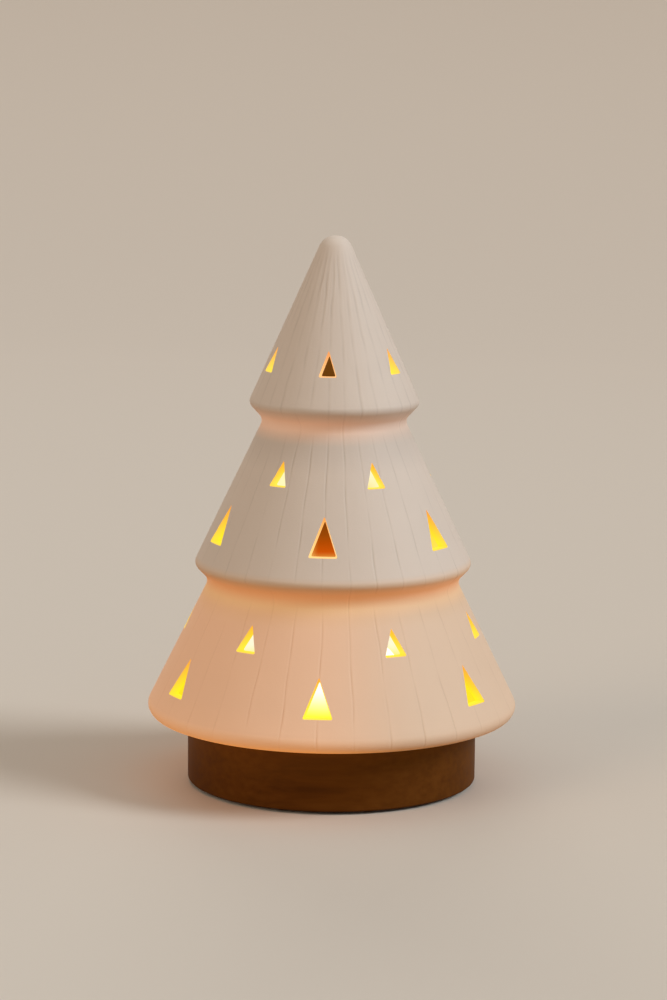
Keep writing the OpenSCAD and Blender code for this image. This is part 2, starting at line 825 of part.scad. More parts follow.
// Door with two hooks that turn behind the cover, a latch with a bead, and grip lines
module battery_door() {
    corner_r = cell_space * 2;
    tongue_t = hook_t * 2 / 3;
    tongue_y = latch_y + slip_gap + joint_gap;
    bead = joint_gap * 3;
    line_w = step_t * 2 / 3;
    line_count = 3;
    color(black_abs)
        difference() {
            union() {
                translate([0, 0, feet_stand])
                    rounded_plate(door_w, latch_y, hinge_y, corner_r, door_t);
                for (side = [-1, 1])
                    translate([side * hook_x - hook_w / 2, hinge_y, door_top - cut]) {
                        translate([0, -hook_t, 0])
                            cube([hook_w, hook_t, hook_top - door_top + cut]);
                        translate([0, -hook_t, hook_top - step_t - door_top + cut])
                            cube([hook_w, hook_t + hook_reach, step_t]);
                    }
                translate([-latch_w / 2, tongue_y, door_top - cut])
                    cube([latch_w, tongue_t, latch_top - door_top + cut]);
                translate([-latch_w / 2, tongue_y, 0])
                    rotate([90, 0, 90])
                        linear_extrude(latch_w)
                            polygon([[0, step_top + slip_gap], [-bead, step_top + slip_gap + bead],
                                     [0, step_top + slip_gap + step_t]]);
            }
            for (i = [0 : line_count - 1])
                translate([0, latch_y + (i + 2) * 2 * step_t, feet_stand - cut])
                    block(latch_w, line_w, cut + door_t / 4);
        }
}

// Cells side by side, the middle one turned round
module batteries() {
    edge = button_h / 2;
    can_end = cell_l - button_h;
    corners = [[0, 0], [cell_r, 0], [cell_r, can_end], [button_r, can_end], [button_r, cell_l], [0, cell_l]];
    rounds = [0, edge, edge, 0, edge / 2, 0];
    start = -bay_l / 2 + contact_t + spring_l + joint_gap;
    color(cell_wrap)
        for (i = [-1 : 1])
            rotate((i % 2 == 0) ? 180 : 0)
                translate([i * cell_pitch, start, cell_z])
                    rotate([-90, 0, 0])
                        rotate_extrude()
                            polygon(rounded_outline(corners, rounds));
}

// One contact plate against an end wall, from x0 to x1, with a tab through the roof if asked
module contact_plate(end, x0, x1, tab) {
    plate_h = cell_d * 3 / 4;
    y = end > 0 ? bay_l / 2 - contact_t : -bay_l / 2;
    translate([x0, y, cell_z - plate_h / 2])
        cube([x1 - x0, contact_t, plate_h]);
    if (tab)
        translate([(x0 + x1 - tab_w) / 2, y, cell_z])
            cube([tab_w, contact_t, tab_top - cell_z]);
}

// Two plates join neighbouring cells, and one at each end of the chain takes a lead
module contact_plates() {
    half = contact_w / 2;
    color(steel) {
        contact_plate(-1, -cell_pitch - half, -cell_pitch + half, true);
        contact_plate(-1, -half, cell_pitch + half, false);
        contact_plate(1, -cell_pitch - half, half, false);
        contact_plate(1, cell_pitch - half, cell_pitch + half, true);
    }
}

// Path of a contact spring: it narrows from foot to tip, with straight ends
spring_turns = 3;
spring_steps = 8;
spring_path = concat(
    [[spring_foot_r, 0, 0]],
    [for (k = [0 : spring_turns * spring_steps]) let (t = k / (spring_turns * spring_steps))
        let (r = spring_foot_r + (spring_tip_r - spring_foot_r) * t)
        [r * cos(360 * k / spring_steps), r * sin(360 * k / spring_steps),
         spring_wire + (spring_l - 2 * spring_wire) * t]],
    [[spring_tip_r, 0, spring_l]]
);
spring_gap = min([for (i = [1 : len(spring_path) - 2], j = [1 : len(spring_path) - 2])
    if (j > i + spring_steps / 2) norm(spring_path[i] - spring_path[j])]) - spring_wire;
echo(str("least gap of a contact spring to itself, mm: ", spring_gap));

// A spring on the flat end of each cell
module contact_springs() {
    color(spring_steel)
        for (i = [-1 : 1])
            rotate((i % 2 == 0) ? 180 : 0)
                translate([i * cell_pitch, -bay_l / 2 + contact_t, cell_z])
                    rotate([-90, 0, 0])
                        tube(spring_path, spring_wire / 2, 6);
}

// Slide switch hung from its ears: ear plate, can with a hollow for the slider, and three blades
module switch_body() {
    slot_l = knob_l + switch_travel + 2 * slip_gap;
    color(steel)
        translate([switch_x, 0, 0])
            difference() {
                union() {
                    translate([0, 0, ear_z])
                        block(switch_w, ear_l, ear_t);
                    translate([0, 0, ear_z])
                        block(switch_w, can_l, can_top - ear_z);
                    for (i = [-1 : 1])
                        translate([0, i * blade_pitch, can_top - blade_t])
                            block(blade_t, blade_w, blade_top - can_top + blade_t);
                }
                translate([0, 0, ear_z - cut])
                    block(knob_w + 2 * slip_gap, slot_l, ear_t + 2 * cut);
                translate([0, 0, can_z])
                    block(switch_w - 2 * can_wall, can_l - 2 * can_wall, flange_t + 2 * slip_gap);
                for (side = [-1, 1])
                    translate([0, side * ear_hole_y, ear_z - cut])
                        cylinder(r = small_screw_r + slip_gap, h = ear_t + 2 * cut);
            }
}

module switch_screws() {
    color(steel)
        at_switch_ears()
            translate([0, 0, can_z])
                screw(small_screw_r, small_head_r, small_head_h, switch_h / 2);
}

// Knob under the cover with its slider in the can, resting at the "on" end of its travel
module switch_knob() {
    tip_z = feet_stand - slip_gap;
    flange_w = switch_w - 2 * can_wall - 2 * slip_gap;
    color(black_abs)
        translate([switch_x, -switch_travel / 2, 0]) {
            translate([0, 0, tip_z])
                block(knob_w, knob_l, can_z + 2 * slip_gap - tip_z);
            translate([0, 0, can_z + slip_gap])
                block(flange_w, flange_l, flange_t);
        }
}

// A lead along a route of points
module lead(points) {
    tube(curve(points, 3), lead_d / 2, lead_sides);
}

// End of a lead that rises to the board beside the middle
function rise_to_board(side) = [
    [side * lead_spread, 0, hollow_top + lead_d / 2],
    [side * lead_spread, 0, base_top],
    [side * lead_spread, 0, lead_end]
];

// From the last contact plate over the roof of the bay and down to the switch
module battery_lead() {
    start_x = cell_pitch + tab_w / 2 + joint_gap;
    start_y = (bay_l - contact_t) / 2;
    end_y = blade_pitch;
    color("firebrick")
        lead([
            [start_x, start_y, lead_z],
            [start_x + 2 * lead_d, start_y, lead_z],
            [bay_w / 2 + 3 * bay_wall, start_y - lead_d, lead_z - lead_d / 2],
            [switch_x - switch_w / 2, start_y * 2 / 3, can_top + switch_h],
            [switch_x, end_y + 2 * lead_d, blade_top + 3 * lead_d],
            [switch_x, end_y, blade_top + 2 * lead_d],
            [switch_x, end_y, blade_top + slip_gap]
        ]);
}

// From the middle blade of the switch over the bay and up to the board
module switch_lead() {
    color("firebrick")
        lead(concat([
            [switch_x, 0, blade_top + slip_gap],
            [switch_x, 0, blade_top + 2 * lead_d],
            [switch_x - 2 * lead_d, -2 * lead_d, lead_z - lead_d],
            [bay_w / 2 + bay_wall + lead_d, -3 * lead_d, lead_z],
            [cell_pitch, -2 * lead_d, lead_z],
            [lead_spread + 2 * lead_d, -lead_d, lead_z]
        ], rise_to_board(1)));
}

// From the first contact plate over the bay and up to the board
module return_lead() {
    start_x = -cell_pitch + tab_w / 2 + joint_gap;
    start_y = -(bay_l - contact_t) / 2;
    color("#26282b")
        lead(concat([
            [start_x, start_y, lead_z],
            [start_x + 2 * lead_d, start_y, lead_z],
            [-cell_pitch / 2, start_y + 4 * lead_d, lead_z],
            [-lead_spread - lead_d, start_y / 2, lead_z],
            [-lead_spread - lead_d, -2 * lead_d, lead_z]
        ], rise_to_board(-1)));
}

tree_shade();
pad_ring();
wooden_base();
lamp_plate();
lamp_plate_screws();
light_dome();
circuit_board();
board_screws();
lights();
resistors();
bottom_cover();
cover_screws();
feet();
battery_door();
batteries();
contact_plates();
contact_springs();
switch_body();
switch_screws();
switch_knob();
battery_lead();
switch_lead();
return_lead();
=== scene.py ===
"""Battery lamp: a three-tier porcelain tree with pierced windows on a turned wooden base.

Metres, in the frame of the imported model. The shade is worked out here from the same sizes as
its solid, with the scored lines that the solid leaves out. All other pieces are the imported
solids, and only their finishes are made here.
"""
import math

import bpy
import numpy as np
from mathutils import Matrix, Vector


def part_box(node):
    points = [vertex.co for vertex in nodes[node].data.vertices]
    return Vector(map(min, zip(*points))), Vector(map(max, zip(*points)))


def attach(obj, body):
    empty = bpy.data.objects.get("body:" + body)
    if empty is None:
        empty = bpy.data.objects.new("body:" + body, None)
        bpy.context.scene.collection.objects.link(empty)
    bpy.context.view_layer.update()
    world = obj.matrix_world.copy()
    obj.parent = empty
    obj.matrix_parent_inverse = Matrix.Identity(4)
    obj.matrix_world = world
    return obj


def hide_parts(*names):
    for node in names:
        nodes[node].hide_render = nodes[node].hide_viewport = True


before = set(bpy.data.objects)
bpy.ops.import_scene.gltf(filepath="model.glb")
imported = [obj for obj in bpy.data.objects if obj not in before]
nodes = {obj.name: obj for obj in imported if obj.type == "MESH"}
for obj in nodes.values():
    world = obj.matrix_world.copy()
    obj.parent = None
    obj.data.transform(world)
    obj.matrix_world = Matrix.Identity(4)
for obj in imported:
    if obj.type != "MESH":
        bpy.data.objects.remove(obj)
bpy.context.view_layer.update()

# Shade: radii and heights over its floor, as in its solid
WALL = 0.0038
MOUTH_R = 0.0475
SKIRT_R = 0.0805
LOW_WAIST = (0.052, 0.0578)
MIDDLE_LIP = (0.0586, 0.0645)
HIGH_WAIST = (0.0296, 0.1254)
TOP_LIP = (0.036, 0.1323)
TIP_R = 0.0074
MOUTH_ROUND = 0.0013
SKIRT_ROUND = 0.0044
LOW_WAIST_ROUND = 0.005
MIDDLE_LIP_ROUND = 0.0029
HIGH_WAIST_ROUND = 0.0039
TOP_LIP_ROUND = 0.0032
SLIP_ROUND = 0.0025  # least radius that the poured clay takes inside
SHADE_FLOOR = float(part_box("tree_shade")[0][2])
SHADE_TOP = float(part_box("tree_shade")[1][2])
SHADE_HEIGHT = SHADE_TOP - SHADE_FLOOR
LEVEL_WALL = WALL * 1.1  # the wall measured level, since the tiers lean
ARC_STEPS = 8
TIP_ARC_STEPS = 16
ROW_STEP = 0.0021
INSIDE_ROW_STEP = 4 * ROW_STEP
LEAST_GAP = 0.35  # of a step, from a new point of an outline to those already there
SHARP_EDGE = math.radians(38)

# Windows: width, height, sill over the floor, and turns from the front in degrees
WINDOW_ROWS = (
    (0.0125, 0.0154, 0.0137, (-57.5, 0, 58.5, 119, 181, 242)),
    (0.0099, 0.0106, 0.0361, (-86, -30, 29, 80, 143, 208)),
    (0.0123, 0.0157, 0.0756, (-62.5, 0, 61, 121, 180, 239)),
    (0.0085, 0.0101, 0.1016, (-92, -30, 30, 98, 154, 210)),
    (0.0078, 0.0103, 0.1462, (-64, -1, 63.5, 121, 179, 238)),
)
WINDOW_DRAFT = math.tan(math.radians(12))
SILL_CORNER = 0.0005
WINDOW_TOP = 0.0002
WINDOW_ARC_STEPS = 4
WINDOW_SIDE_STEPS = 6
CUTTER_DEPTHS = (-0.0016, 0.0062)  # from clear of the outside to clear of the inside

# Lines scored by hand down all three tiers
LINES = 32
COLUMNS_PER_LINE = 12
CLOSE_COLUMNS = np.array([0.0, 0.00022, 0.0005, 0.001])  # distances from a line
LINE_HALF_WIDTH = 0.00026
TOP_LINE_HALF_WIDTH = 0.00042
LINE_DEPTH = 0.00012
TOP_LINE_LOSS = 0.4  # share of the depth that lines lack on the top tier
LINE_BURR = 0.00006
BURR_PLACE = 2.2  # in half widths of the line
BURR_WIDTH = 1.2  # in half widths of the line

# How far the lines stray sideways, and how their depth changes on the way down
WAVE_GAIN = 1.4  # a mean of sines seldom comes near 1 without it
LINE_STRAY = 0.0003
STRAY_LENGTHS = (0.023, 0.047, 0.09)
TOP_LINE_STRAY = 0.0001
TOP_STRAY_LENGTHS = (0.009, 0.019)
MOST_STRAY = 0.2  # share of the spacing between lines
DEPTH_LENGTHS = (0.014, 0.033, 0.08)
DEPTH_MEAN = 0.6
DEPTH_SWING = 0.5
DEPTH_RANGE = (0.05, 1.1)
LINES_THROUGH_WAISTS = (0, 1, 30, 6, 13, 19, 24)
THROUGH_WAIST_LOSS = 0.2
WAIST_LOSS = 0.95
LOW_WAIST_FADE = 0.008
HIGH_WAIST_FADE = 0.01
LIP_FADE = 0.004
FOOT_FADE = (0.0004, 0.002)  # over the floor
TIP_FADE = (0.011, 0.005)  # below the top

# Slight unevenness of the outside, under 0.1 mm: bulges round it that turn with height
UNEVEN = 0.00004
UNEVEN_BULGES = 3
UNEVEN_TURN = 60  # radians of the sine per metre of height

rng = np.random.default_rng(24)


def rounded(before, corner, after, radius, steps):
    """Points of a corner rounded by an arc: its centre lies on the corner's bisector, where the
    radius just touches both sides, and the points sweep from the first touch to the second."""
    back = (before - corner) / np.linalg.norm(before - corner)
    ahead = (after - corner) / np.linalg.norm(after - corner)
    half = math.acos(float(back @ ahead)) / 2
    bisector = (back + ahead) / np.linalg.norm(back + ahead)
    centre = corner + bisector * radius / math.sin(half)
    first = corner + back * radius / math.tan(half) - centre
    last = corner + ahead * radius / math.tan(half) - centre
    sweep = math.pi - 2 * half
    t = np.linspace(0, 1, steps + 1)[:, None]
    return centre + (np.sin((1 - t) * sweep) * first + np.sin(t * sweep) * last) / math.sin(sweep)


def left_of(step):
    """The unit direction to the left of a step."""
    turned = np.array([-step[1], step[0]])
    return turned / np.linalg.norm(turned)


def inner_corner(before, corner, after):
    """A corner moved to the left of its path so that both walls keep their thickness: along the
    sum of both left directions, by the wall over one plus their product."""
    a = left_of(corner - before)
    b = left_of(after - corner)
    return corner + (a + b) * WALL / (1 + float(a @ b))


def turns_left(before, corner, after):
    """Whether a path turns left at a corner, by the sign of the cross product."""
    a = corner - before
    b = after - corner
    return a[0] * b[1] - a[1] * b[0] > 0


def filled(points, step):
    """The same outline with extra points on its long stretches: straight interpolation by length
    at even steps, without the ones that would lie close to a point that is already there."""
    length = np.concatenate([[0], np.cumsum(np.linalg.norm(np.diff(points, axis=0), axis=1))])
    even = np.arange(step, length[-1], step)
    near = np.abs(even[:, None] - length[None, :]).min(axis=1)
    at = np.sort(np.concatenate([length, even[near > step * LEAST_GAP]]))
    return np.stack([np.interp(at, length, points[:, i]) for i in (0, 1)], axis=1)


def sharp_tip():
    """Radius and height over the floor where the sides of the top tier would meet. They touch
    the ball of the tip, so they lean in by the angle from the lip to the ball's middle less the
    angle that the ball's radius takes there, and meet over it by the radius over its sine."""
    middle = SHADE_HEIGHT - TIP_R
    reach = math.hypot(TOP_LIP[0], middle - TOP_LIP[1])
    lean = math.atan2(TOP_LIP[0], middle - TOP_LIP[1]) - math.asin(TIP_R / reach)
    return 0.0, middle + TIP_R / math.sin(lean)


def shade_outlines():
    """Outer and inner outline of the shade as radius and height. The outer one runs from the
    mouth over the skirt, waists and lips to the tip. The inner one is the same path moved in by
    the wall, from the tip back to the mouth. A corner that bulges loses the wall from its radius
    inside, and a hollow one gains it."""
    corners = [np.array(place) for place in (
        (MOUTH_R, 0.0), (SKIRT_R, 0.0), LOW_WAIST, MIDDLE_LIP, HIGH_WAIST, TOP_LIP, sharp_tip())]
    radii = (MOUTH_ROUND, SKIRT_ROUND, LOW_WAIST_ROUND, MIDDLE_LIP_ROUND,
             HIGH_WAIST_ROUND, TOP_LIP_ROUND, TIP_R)
    last = len(corners) - 1
    path = corners + [corners[last - 1] * (-1, 1)]
    foot = corners[0] + left_of(corners[1] - corners[0]) * WALL
    inner = [foot]
    inner_radii = [MOUTH_ROUND]
    for before, corner, after, radius in zip(path, path[1:], path[2:], radii[1:]):
        bulges = turns_left(before, corner, after)
        inner.append(inner_corner(before, corner, after))
        inner_radii.append(max(radius - WALL, SLIP_ROUND) if bulges else radius + WALL)
    inner.append(inner[last - 1] * (-1, 1))

    outer = [rounded(foot, corners[0], corners[1], radii[0], ARC_STEPS)]
    outer += [rounded(*path[i - 1:i + 2], radii[i], ARC_STEPS) for i in range(1, last)]
    tip = rounded(*path[last - 1:], radii[last], TIP_ARC_STEPS)
    outer.append(tip[:TIP_ARC_STEPS // 2 + 1])
    tip_inside = rounded(*inner[last - 1:], inner_radii[last], ARC_STEPS)
    inside = [tip_inside[ARC_STEPS // 2::-1]]
    inside += [rounded(inner[i + 1], inner[i], inner[i - 1], inner_radii[i], ARC_STEPS)
               for i in range(last - 1, 0, -1)]
    inside.append(rounded(inner[1], foot, corners[0], inner_radii[0], ARC_STEPS))
    return np.concatenate(outer), np.concatenate(inside)


def outside_radius(height):
    """Radius of the straight side of the tier that a height over the floor lies in."""
    low = np.array([(SKIRT_R, 0.0), MIDDLE_LIP, TOP_LIP])
    high = np.array([LOW_WAIST, HIGH_WAIST, sharp_tip()])
    tier = np.searchsorted((LOW_WAIST[1], HIGH_WAIST[1]), height)
    (r0, h0), (r1, h1) = low[tier].T, high[tier].T
    return r0 + (r1 - r0) * (height - h0) / (h1 - h0)


def line_angles(radius, stray):
    """Angle of every column, its distance in metres from its own scored line, and that line. The
    seven columns nearest a line keep fixed distances from it where there is room, and the rest
    share what is left. Each line strays sideways, and the columns follow it less and less with
    the square of their place from it."""
    half = COLUMNS_PER_LINE // 2
    columns = np.arange(LINES * COLUMNS_PER_LINE)
    line = (columns + half) // COLUMNS_PER_LINE
    place = columns - line * COLUMNS_PER_LINE
    spacing = 2 * math.pi / LINES
    r = radius[:, None]
    even = spacing * np.arange(half + 1) / COLUMNS_PER_LINE
    near = np.minimum(CLOSE_COLUMNS / r, even[:len(CLOSE_COLUMNS)])
    others = half + 1 - len(CLOSE_COLUMNS)
    far = near[:, -1:] + (spacing / 2 - near[:, -1:]) * np.arange(1, others + 1) / others
    away = np.concatenate([near, far], axis=1)[:, np.abs(place)] * np.sign(place)
    hold = 1 - (np.abs(place) / half) ** 2
    most = spacing * MOST_STRAY
    follow = np.clip(stray / r, -most, most)[:, line % LINES] * hold
    return line * spacing + away + follow, away * r, line % LINES


def wave(height, lengths):
    """A smooth value from about -1 to 1 for each height and line: a mean of sines of the given
    wave lengths, with a chance phase for each line, times a gain."""
    phase = rng.uniform(0, 2 * math.pi, (len(lengths), LINES))
    turns = height[None, :, None] / np.array(lengths)[:, None, None] * 2 * math.pi
    return np.sin(turns + phase[:, None, :]).mean(axis=0) * WAVE_GAIN


def ease(value, low, high):
    """Smooth step from 0 at low to 1 at high."""
    t = np.clip((value - low) / (high - low), 0, 1)
    return t * t * (3 - 2 * t)


def in_waist(height, waist, lip, fade):
    """1 in a waist and 0 on the tiers: it eases in over the fade below the waist, and out again
    just below the lip over it."""
    return ease(height, waist[1] - fade, waist[1]) * (1 - ease(height, lip[1] - LIP_FADE, lip[1]))


def line_depths(height, ends):
    """Depth of each line at each height, as a share of the full one: a wave about its mean, kept
    in its range, less what it loses in the waists, and none at the ends."""
    depth = np.clip(DEPTH_MEAN + DEPTH_SWING * wave(height, DEPTH_LENGTHS), *DEPTH_RANGE)
    low = in_waist(height, LOW_WAIST, MIDDLE_LIP, LOW_WAIST_FADE)
    high = in_waist(height, HIGH_WAIST, TOP_LIP, HIGH_WAIST_FADE)
    through = np.isin(np.arange(LINES), LINES_THROUGH_WAISTS)
    loss = np.where(through, THROUGH_WAIST_LOSS, WAIST_LOSS)
    return depth * (1 - np.maximum(low, high)[:, None] * loss) * ends


def grid_faces(rows, columns):
    """Faces of a grid that closes on itself: quads between its rows, and a fan to the pole at
    either end. The poles are the two points after the grid's own."""
    row = np.arange(rows - 1)[:, None] * columns
    here = np.arange(columns)
    next_one = (here + 1) % columns
    quads = np.stack([row + here, row + next_one,
                      row + columns + next_one, row + columns + here], axis=2).reshape(-1, 4)
    last_row = (rows - 1) * columns
    pole = np.full(columns, rows * columns)
    start = np.stack([pole, next_one, here], axis=1)
    end = np.stack([pole + 1, last_row + here, last_row + next_one], axis=1)
    return quads.tolist() + start.tolist() + end.tolist()


def shade_surface():
    """Closed grid of the shade. Rows follow the outlines from the inner pole through the mouth to
    the outer pole, and columns follow the scored lines. Each point of the outside moves in along
    its normal, so that nothing stands proud of the solid: by the burr's height between the lines,
    by less on the burr beside a line, and by more in the line, whose section is a bell. All of
    that follows the line's depth. A sine round the shade adds the unevenness.
    Returns points, faces, material slots and how scored each point is."""
    outer, inside = shade_outlines()
    outer = filled(outer, ROW_STEP)
    inside = filled(inside, INSIDE_ROW_STEP)
    outline = np.concatenate([inside[1:], outer[:-1]])
    radius, height = outline.T
    rows = len(outline)
    columns = LINES * COLUMNS_PER_LINE
    is_outside = (np.arange(rows) >= len(inside) - 1)[:, None]

    in_top = ease(height, HIGH_WAIST[1], TOP_LIP[1])[:, None]
    near_tip = ease(height, SHADE_HEIGHT - TIP_FADE[0], SHADE_HEIGHT - TIP_FADE[1])
    ends = (ease(height, *FOOT_FADE) * (1 - near_tip))[:, None]
    stray = wave(height, STRAY_LENGTHS) * LINE_STRAY
    stray = stray + wave(height, TOP_STRAY_LENGTHS) * TOP_LINE_STRAY * in_top
    angle, gap, line = line_angles(radius, stray)
    depth = line_depths(height, ends)[:, line]

    half_width = LINE_HALF_WIDTH + (TOP_LINE_HALF_WIDTH - LINE_HALF_WIDTH) * in_top
    bell = np.exp(-(gap / half_width) ** 2)
    burr = np.exp(-((gap - BURR_PLACE * half_width) / (BURR_WIDTH * half_width)) ** 2)
    uneven = UNEVEN * (np.sin(UNEVEN_BULGES * angle + UNEVEN_TURN * height[:, None]) - 1)
    scored = bell * depth * is_outside
    push = (LINE_BURR * (burr - 1) - LINE_DEPTH * (1 - TOP_LINE_LOSS * in_top) * bell) * depth
    push = (push + uneven * ends) * is_outside

    along = np.gradient(outline, axis=0)
    along /= np.linalg.norm(along, axis=1)[:, None]
    r = radius[:, None] + along[:, 1:2] * push
    z = height[:, None] - along[:, 0:1] * push + SHADE_FLOOR
    grid = np.stack([r * np.sin(angle), -r * np.cos(angle), z], axis=2).reshape(-1, 3)
    poles = [[0, 0, inside[0, 1] + SHADE_FLOOR], [0, 0, outer[-1, 1] + SHADE_FLOOR]]
    lit = np.concatenate([np.repeat(~is_outside[:-1, 0], columns),
                          np.ones(columns, bool), np.zeros(columns, bool)])
    return (np.concatenate([grid, poles]), grid_faces(rows, columns),
            lit.astype(int), np.concatenate([scored.ravel(), [0, 0]]))


def window_cutter(width, tall, sill, turn, first):
    """Solid that cuts one window: a triangle with rounded corners that follows the slope of the
    wall. With depth it shrinks about the middle of its sill, so the sill stays level and both
    slanted sides lean in by the draft. The top corner starts higher by what its rounding takes.
    Returns its points, and its faces counted from the first point's number."""
    slant = math.hypot(width / 2, tall)
    top = tall + WINDOW_TOP * (slant / (width / 2) - 1)
    corners = [np.array(place) for place in ((-width / 2, 0.0), (width / 2, 0.0), (0.0, top))]
    radii = (SILL_CORNER, SILL_CORNER, WINDOW_TOP)
    arcs = [rounded(corners[i - 1], corners[i], corners[(i + 1) % 3], radii[i], WINDOW_ARC_STEPS)
            for i in range(3)]
    outline = filled(np.concatenate(arcs + [arcs[0][:1]]), tall / WINDOW_SIDE_STEPS)[:-1]
    reach = width / 2 * tall / slant
    azimuth = math.radians(turn)
    rings = []
    for depth in CUTTER_DEPTHS:
        across_sill, height = (outline * (1 - depth * WINDOW_DRAFT / reach)).T
        out = outside_radius(height + sill) - depth
        x = across_sill * math.cos(azimuth) + out * math.sin(azimuth)
        y = across_sill * math.sin(azimuth) - out * math.cos(azimuth)
        rings.append(np.stack([x, y, height + sill + SHADE_FLOOR], axis=1))
    count = len(outline)
    here = np.arange(first, first + count)
    next_one = np.roll(here, -1)
    walls = np.stack([here + count, next_one + count, next_one, here], axis=1).tolist()
    return np.concatenate(rings), walls + [here.tolist(), (here[::-1] + count).tolist()]


def mesh_object(name, points, faces):
    """A new object whose mesh has these points and faces."""
    mesh = bpy.data.meshes.new(name)
    mesh.from_pydata(np.asarray(points).tolist(), [], faces)
    piece = bpy.data.objects.new(name, mesh)
    bpy.context.scene.collection.objects.link(piece)
    return piece


def finished_copy(piece, name):
    """A new object with the mesh that piece has once its modifiers are applied; piece goes."""
    evaluated = piece.evaluated_get(bpy.context.evaluated_depsgraph_get())
    mesh = bpy.data.meshes.new_from_object(evaluated)
    bpy.data.objects.remove(piece)
    made = bpy.data.objects.new(name, mesh)
    mesh.name = name
    bpy.context.scene.collection.objects.link(made)
    return made


def linear(colour):
    """A hex sRGB colour as linear red, green, blue and alpha."""
    values = [int(colour[i:i + 2], 16) / 255 for i in (1, 3, 5)]
    return [v / 12.92 if v <= 0.04045 else ((v + 0.055) / 1.055) ** 2.4 for v in values] + [1.0]


def repeats(width):
    """Repeats per metre of a pattern whose marks are this many millimetres wide."""
    return 1000 / width


# Numbers of a Mix node's sockets, since their names repeat
MIX_SHARE = 0
FIRST_VALUE = 2
SECOND_VALUE = 3
FIRST_COLOUR = 6
SECOND_COLOUR = 7
MIXED_COLOUR = 2  # among its outputs


def plug(tree, node, sockets):
    """Gives sockets of a node their values, or links the sockets that are given for them."""
    for key, value in sockets.items():
        if isinstance(value, bpy.types.NodeSocket):
            tree.links.new(value, node.inputs[key])
        else:
            node.inputs[key].default_value = value


def add(tree, kind, sockets=None, stops=None, **settings):
    """A node with its settings, the values or links of its sockets, which go by name or by number
    where names repeat, and the stops of its colour ramp: the place and hex colour of each."""
    made = tree.nodes.new(kind)
    for key, value in settings.items():
        setattr(made, key, value)
    plug(tree, made, sockets or {})
    if stops:
        elements = made.color_ramp.elements
        for _ in stops[2:]:
            elements.new(0.5)
        for element, (place, colour) in zip(elements, sorted(stops)):
            element.position = place
            element.color = linear(colour)
    return made


def new_material(name):
    """A material with a plain surface shader, with its node tree and that shader."""
    made = bpy.data.materials.new(name)
    made.use_nodes = True
    return made, made.node_tree, made.node_tree.nodes["Principled BSDF"]


def height_share(tree, low, high):
    """Socket that runs from 0 at the low height to 1 at the high one, and the Object coordinates
    that it reads."""
    place = add(tree, "ShaderNodeTexCoord").outputs["Object"]
    split = add(tree, "ShaderNodeSeparateXYZ", {"Vector": place})
    share = add(tree, "ShaderNodeMapRange",
                {"Value": split.outputs["Z"], "From Min": low, "From Max": high})
    return share.outputs["Result"], place


def across(tree, place, low, high, start=0.0, end=1.0, both_sides=False):
    """Socket that eases from the start value at the low distance to the right of the axis to the
    end value at the high one, or counts the distance to either side alike."""
    x = add(tree, "ShaderNodeSeparateXYZ", {"Vector": place}).outputs["X"]
    if both_sides:
        x = add(tree, "ShaderNodeMath", {"Value": x}, operation="ABSOLUTE").outputs["Value"]
    eased = add(tree, "ShaderNodeMapRange", {
        "Value": x, "From Min": low, "From Max": high, "To Min": start, "To Max": end},
        interpolation_type="SMOOTHSTEP")
    return eased.outputs["Result"]


def clouded(tree, place, width, detail, tones):
    """Soft clouds of this width in millimetres, and the colour that they blend out of the tones:
    a socket for each."""
    cloud = add(tree, "ShaderNodeTexNoise",
                {"Vector": place, "Scale": repeats(width), "Detail": detail}).outputs["Fac"]
    return cloud, add(tree, "ShaderNodeValToRGB", {"Fac": cloud}, stops=tones).outputs["Color"]


# Tooth of the unglazed clay: far finer in truth, and drawn this wide, in millimetres, to show
BISQUE_TOOTH = 0.714
BISQUE_SWELL = 6.25
BISQUE_TOOTH_HEIGHT = 0.00008
BISQUE_TOOTH_STRENGTH = 0.3

# Distances from the axis over which one kind of light on the porcelain becomes another
GLOW_LEFT_TO_RIGHT = (-0.005, 0.045)
INSIDE_MIDDLE_TO_SIDES = (0.010, 0.019)
INSIDE_SIDES_TO_EDGE = (0.047, 0.055)
CUT_FRONT_TO_SIDES = (0.007, 0.017)


